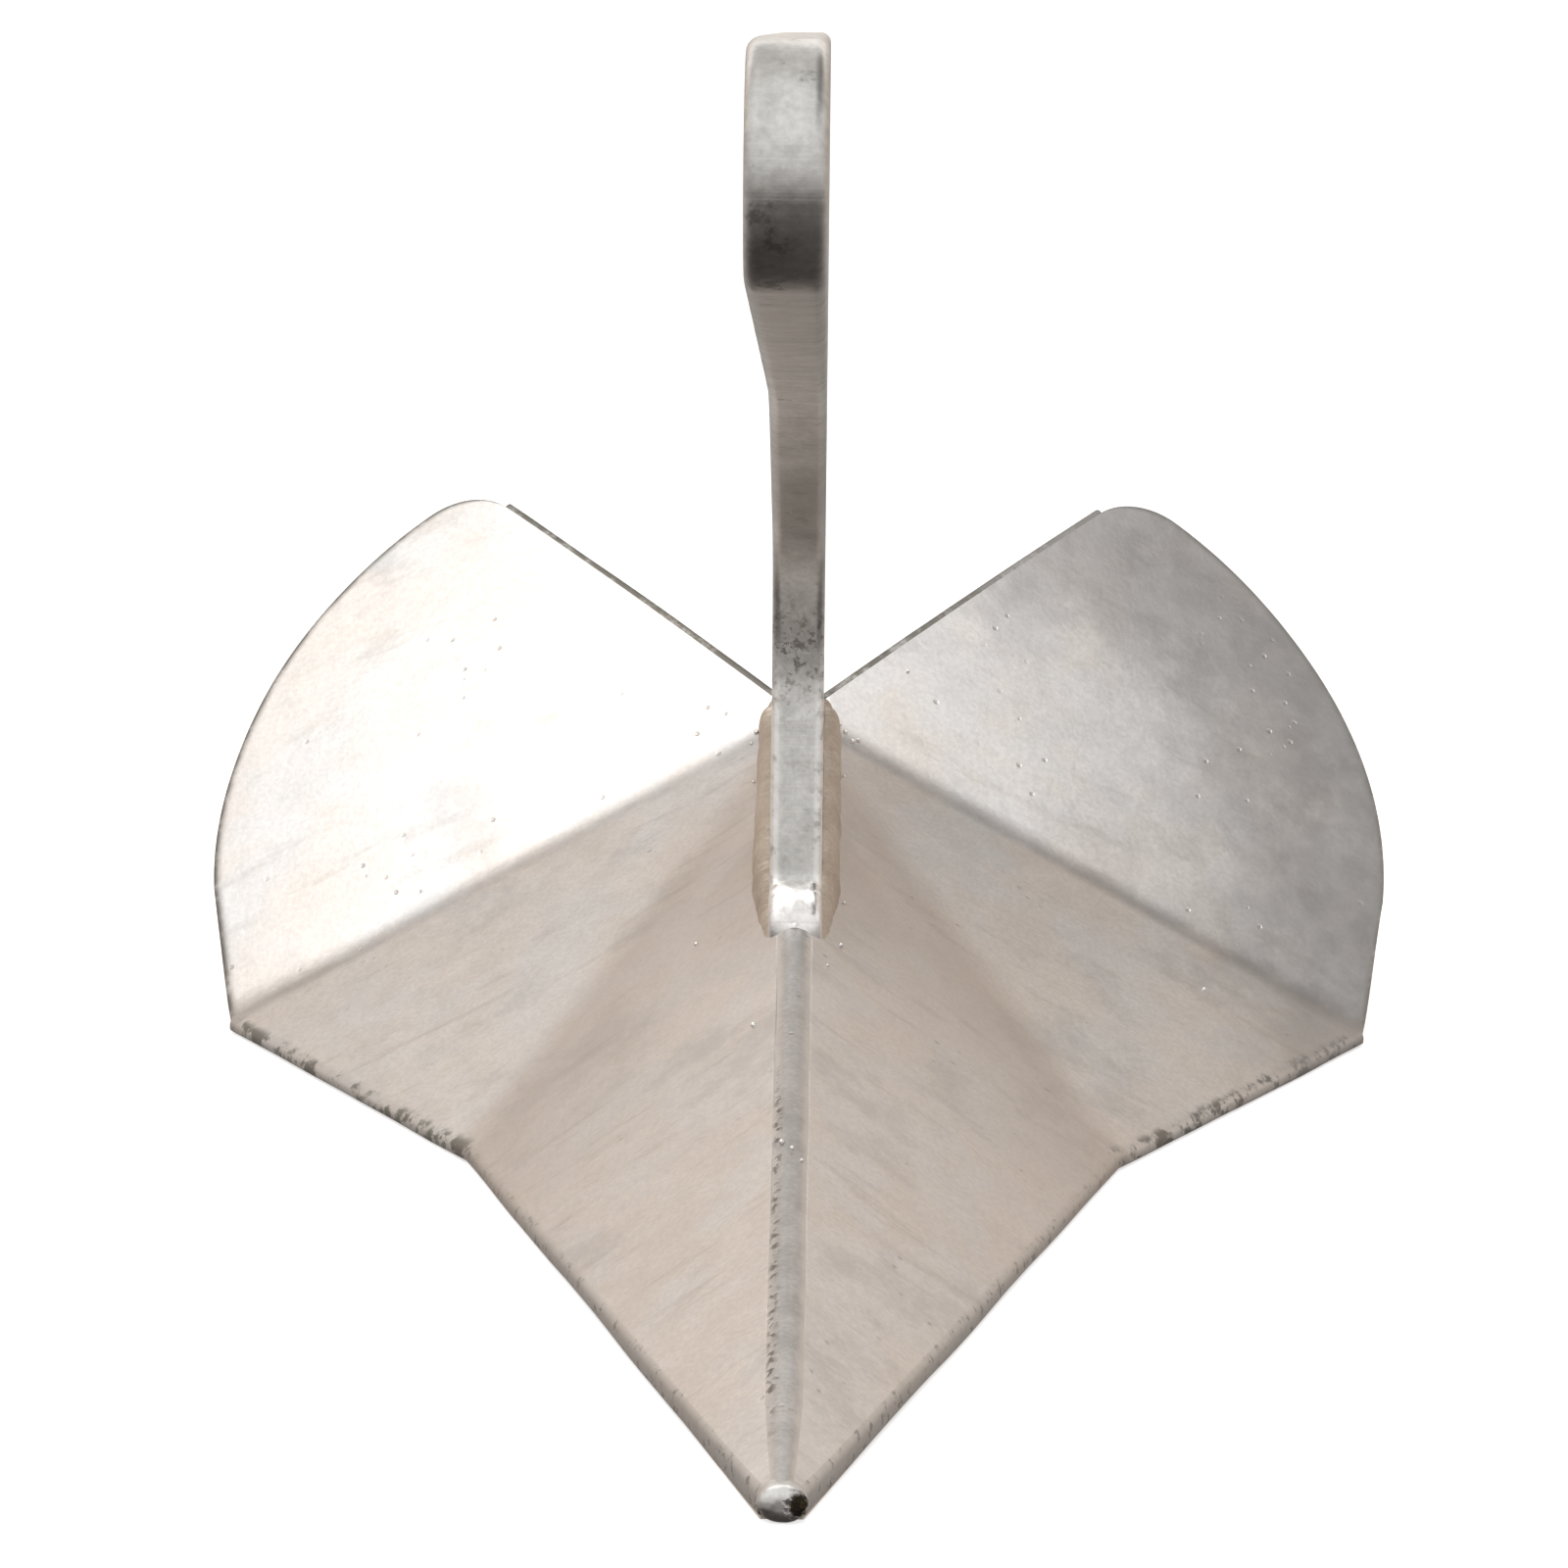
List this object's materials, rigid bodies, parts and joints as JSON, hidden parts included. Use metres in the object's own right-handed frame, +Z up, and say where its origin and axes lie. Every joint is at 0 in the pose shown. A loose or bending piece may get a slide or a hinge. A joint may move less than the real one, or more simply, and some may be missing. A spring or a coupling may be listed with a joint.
{
  "type": "fixed-shank plough anchor",
  "caption": "Galvanised one-piece boat anchor: ploughshare fluke with a sharp ridge, swept-up wings, and an arched plate shank with a shackle hole.",
  "frame": {"origin": "on the floor under the centre of the bounding box, with the anchor standing on the leading edges of its fluke", "axes": "+Z up, -Y towards the nose and the shackle end, +X across the fluke; the plane X = 0 is the plane of symmetry"},
  "size_m": [0.378, 0.8516, 0.358],
  "materials": {
    "galvanised_steel": "hot-dip galvanised, matte to satin with fine orange peel",
    "weld_metal": "galvanised weld bead, duller and slightly brown",
    "ballast": "dull cast lead"
  },
  "bodies": {
    "root": {"shank": "galvanised_steel", "blade_left": "galvanised_steel", "blade_right": "galvanised_steel", "ridge_weld": "weld_metal", "nose_cap": "weld_metal", "nose_block": "galvanised_steel", "ballast_lead": "ballast", "ballast_cover": "galvanised_steel", "ballast_bulkhead": "galvanised_steel", "cover_weld_left": "weld_metal", "cover_weld_right": "weld_metal", "bulkhead_weld": "weld_metal", "shank_weld_left": "weld_metal", "shank_weld_right": "weld_metal", "toe_weld": "weld_metal", "keel_weld_left": "weld_metal", "keel_weld_right": "weld_metal"}
  },
  "joints": []
}
